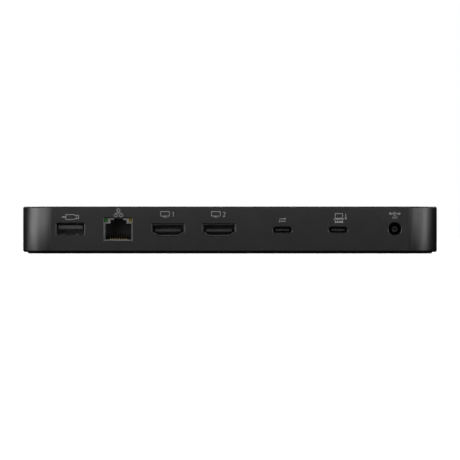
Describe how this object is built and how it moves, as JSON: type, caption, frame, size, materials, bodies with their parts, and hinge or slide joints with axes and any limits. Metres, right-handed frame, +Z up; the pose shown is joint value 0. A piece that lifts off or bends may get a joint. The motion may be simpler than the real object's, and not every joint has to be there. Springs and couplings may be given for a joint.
{
  "type": "laptop docking station",
  "caption": "Low rounded metal slab that joins one laptop to screens, network, storage and power through sockets along both long walls; full-size rubber foot, sprung power button.",
  "frame": {"origin": "centre of the resting face, under the rubber pad", "axes": "+X along the width, -Y out of the rear wall with the display, network and power sockets, +Z up"},
  "size_m": [0.188, 0.075, 0.0214],
  "materials": {
    "housing_metal": "fine-blasted dark grey anodised",
    "button_metal": "dark grey anodised, turned face",
    "lock_plate_metal": "zinc plated",
    "cover_plastic": "fine moulded texture",
    "pad_rubber": "matt",
    "shell_steel": "nickel-plated sheet",
    "pillar_brass": "turned",
    "screw_steel": "zinc plated",
    "contact_gold": "gold plated",
    "black_insulator": "moulded",
    "grey_insulator": "moulded",
    "green_lens": "tinted translucent",
    "amber_lens": "tinted translucent",
    "clear_lens": "frosted",
    "board_laminate": "green solder mask",
    "sheet_film": "thin film",
    "chip_plastic": "moulded package",
    "spreader_metal": "bare cast",
    "thermal_silicone": "soft silicone",
    "inductor_core": "pressed powder",
    "capacitor_can": "bare can",
    "ring_metal": "nickel plated"
  },
  "bodies": {
    "dock": {"housing": "housing_metal", "bottom_cover": "cover_plastic", "foot_pad": "pad_rubber", "threaded_pillars": "pillar_brass", "cover_screws": "screw_steel", "board_screws": "screw_steel", "main_board": "board_laminate", "insulating_sheet": "sheet_film", "lock_plate": "lock_plate_metal", "main_chip": "chip_plastic", "heat_spreader": "spreader_metal", "spreader_screws": "screw_steel", "thermal_pads": "thermal_silicone", "shield_can": "shell_steel", "network_transformer": "chip_plastic", "power_inductors": "inductor_core", "capacitors": "capacitor_can", "support_chips": "chip_plastic", "network_port_shield": "shell_steel", "network_port_body": "black_insulator", "network_port_contacts": "contact_gold", "network_port_green_lamp_lens": "green_lens", "network_port_amber_lamp_lens": "amber_lens", "power_inlet_body": "black_insulator", "power_inlet_spring": "contact_gold", "power_inlet_post": "ring_metal", "audio_jack_body": "black_insulator", "audio_jack_ring": "ring_metal", "audio_jack_contacts": "contact_gold", "card_slot_tray": "black_insulator", "card_slot_lid": "shell_steel", "card_slot_contacts": "contact_gold", "power_switch_body": "black_insulator", "power_switch_dome": "shell_steel", "power_switch_bracket": "shell_steel", "power_status_lamp": "clear_lens", "rear_data_port_shell": "shell_steel", "rear_data_port_insulator": "grey_insulator", "rear_data_port_contacts": "contact_gold", "front_data_port_shell": "shell_steel", "front_data_port_insulator": "grey_insulator", "front_data_port_contacts": "contact_gold", "video_port_1_shell": "shell_steel", "video_port_1_insulator": "black_insulator", "video_port_1_contacts": "contact_gold", "video_port_2_shell": "shell_steel", "video_port_2_insulator": "black_insulator", "video_port_2_contacts": "contact_gold", "link_port_shell": "shell_steel", "link_port_insulator": "black_insulator", "link_port_contacts": "contact_gold", "host_port_shell": "shell_steel", "host_port_insulator": "black_insulator", "host_port_contacts": "contact_gold"},
    "power_button": {"power_button_cap": "button_metal", "power_button_lens": "clear_lens"},
    "switch_plunger": {"power_switch_plunger": "grey_insulator"}
  },
  "joints": [
    {"name": "button_press", "type": "slide", "parent": "dock", "child": "power_button", "axis": [0, -1, 0], "range_m": [0, 0.0005], "stiffness_N_per_m": 3000, "springref_m": -0.0003},
    {"name": "plunger_press", "type": "slide", "parent": "dock", "child": "switch_plunger", "axis": [0, -1, 0], "range_m": [0, 0.0005]}
  ],
  "couplings": [
    {"joint": "plunger_press", "follows": "button_press", "ratio": 1}
  ]
}
